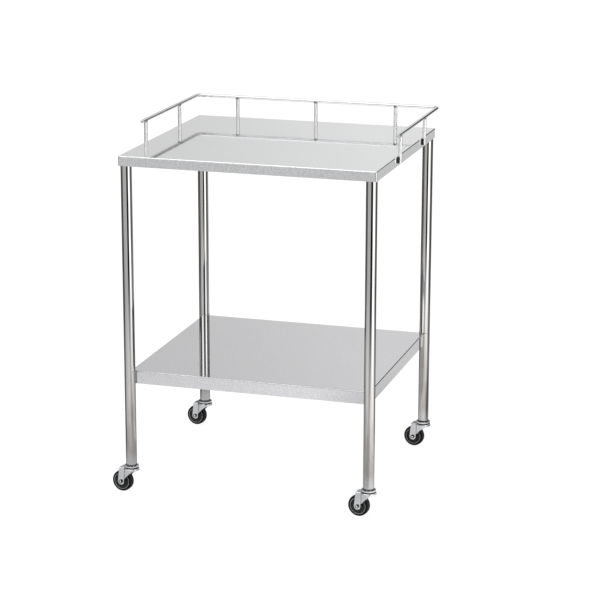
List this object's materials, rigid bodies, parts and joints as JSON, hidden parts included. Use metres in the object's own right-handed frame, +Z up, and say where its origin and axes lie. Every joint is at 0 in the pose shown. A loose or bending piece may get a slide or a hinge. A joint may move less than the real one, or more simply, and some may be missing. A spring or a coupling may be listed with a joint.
{
  "type": "instrument table",
  "caption": "Wheeled steel instrument table with a flat top, a guard rail round its sides and back, a lower shelf and swivel casters on tube legs.",
  "frame": {"origin": "on the floor under the middle of the top", "axes": "+X to the right along the front edge, +Y to the back, +Z up"},
  "size_m": [0.6418, 0.5622, 0.853],
  "materials": {
    "polished_sheet": "stainless steel sheet, polished almost to a mirror",
    "satin_sheet": "stainless steel sheet, satin, as rolled",
    "leg_tube": "stainless steel tube, polished",
    "rail_rod": "stainless steel rod, polished",
    "zinc_plate": "pressed steel with bright zinc plating",
    "turned_steel": "plain turned steel, lightly oiled",
    "ball_steel": "hard bearing steel, mirror bright, greased",
    "black_nut": "blackened steel, semi-matt",
    "grey_plastic": "moulded dark grey polypropylene, fine moulded texture",
    "black_rubber": "black thermoplastic rubber, dull, lightly dusty tread"
  },
  "bodies": {
    "table": {"table_top": "polished_sheet", "top_stiffener": "satin_sheet", "lower_shelf": "polished_sheet", "shelf_stiffener": "satin_sheet", "guard_rail": "rail_rod", "rail_post_left_front": "rail_rod", "rail_post_left_middle": "rail_rod", "rail_post_back_left": "rail_rod", "rail_post_back_centre": "rail_rod", "rail_post_back_right": "rail_rod", "rail_post_right_front": "rail_rod", "rail_post_right_middle": "rail_rod", "leg_front_left": "leg_tube", "caster_insert_front_left": "turned_steel", "kingpin_front_left": "turned_steel", "race_cap_front_left": "zinc_plate", "leg_front_right": "leg_tube", "caster_insert_front_right": "turned_steel", "kingpin_front_right": "turned_steel", "race_cap_front_right": "zinc_plate", "leg_back_left": "leg_tube", "caster_insert_back_left": "turned_steel", "kingpin_back_left": "turned_steel", "race_cap_back_left": "zinc_plate", "leg_back_right": "leg_tube", "caster_insert_back_right": "turned_steel", "kingpin_back_right": "turned_steel", "race_cap_back_right": "zinc_plate"},
    "swivel_front_left": {"fork_front_left": "zinc_plate", "race_balls_front_left": "ball_steel", "axle_bolt_front_left": "zinc_plate", "axle_nut_front_left": "black_nut", "wheel_sleeve_front_left": "turned_steel"},
    "wheel_front_left": {"wheel_hub_front_left": "grey_plastic", "tyre_front_left": "black_rubber"},
    "swivel_front_right": {"fork_front_right": "zinc_plate", "race_balls_front_right": "ball_steel", "axle_bolt_front_right": "zinc_plate", "axle_nut_front_right": "black_nut", "wheel_sleeve_front_right": "turned_steel"},
    "wheel_front_right": {"wheel_hub_front_right": "grey_plastic", "tyre_front_right": "black_rubber"},
    "swivel_back_left": {"fork_back_left": "zinc_plate", "race_balls_back_left": "ball_steel", "axle_bolt_back_left": "zinc_plate", "axle_nut_back_left": "black_nut", "wheel_sleeve_back_left": "turned_steel"},
    "wheel_back_left": {"wheel_hub_back_left": "grey_plastic", "tyre_back_left": "black_rubber"},
    "swivel_back_right": {"fork_back_right": "zinc_plate", "race_balls_back_right": "ball_steel", "axle_bolt_back_right": "zinc_plate", "axle_nut_back_right": "black_nut", "wheel_sleeve_back_right": "turned_steel"},
    "wheel_back_right": {"wheel_hub_back_right": "grey_plastic", "tyre_back_right": "black_rubber"}
  },
  "joints": [
    {"name": "swivel_front_left", "type": "hinge", "parent": "table", "child": "swivel_front_left", "pos_m": [-0.2858, -0.2608, 0.056], "axis": [0, 0, 1], "continuous": true},
    {"name": "wheel_spin_front_left", "type": "hinge", "parent": "swivel_front_left", "child": "wheel_front_left", "pos_m": [-0.30852, -0.2572, 0.025], "axis": [0.1564, 0.9877, 0], "continuous": true},
    {"name": "swivel_front_right", "type": "hinge", "parent": "table", "child": "swivel_front_right", "pos_m": [0.2858, -0.2608, 0.056], "axis": [0, 0, 1], "continuous": true},
    {"name": "wheel_spin_front_right", "type": "hinge", "parent": "swivel_front_right", "child": "wheel_front_right", "pos_m": [0.26308, -0.2572, 0.025], "axis": [0.1564, 0.9877, 0], "continuous": true},
    {"name": "swivel_back_left", "type": "hinge", "parent": "table", "child": "swivel_back_left", "pos_m": [-0.2858, 0.2608, 0.056], "axis": [0, 0, 1], "continuous": true},
    {"name": "wheel_spin_back_left", "type": "hinge", "parent": "swivel_back_left", "child": "wheel_back_left", "pos_m": [-0.30852, 0.2644, 0.025], "axis": [0.1564, 0.9877, 0], "continuous": true},
    {"name": "swivel_back_right", "type": "hinge", "parent": "table", "child": "swivel_back_right", "pos_m": [0.2858, 0.2608, 0.056], "axis": [0, 0, 1], "continuous": true},
    {"name": "wheel_spin_back_right", "type": "hinge", "parent": "swivel_back_right", "child": "wheel_back_right", "pos_m": [0.26308, 0.2644, 0.025], "axis": [0.1564, 0.9877, 0], "continuous": true}
  ]
}
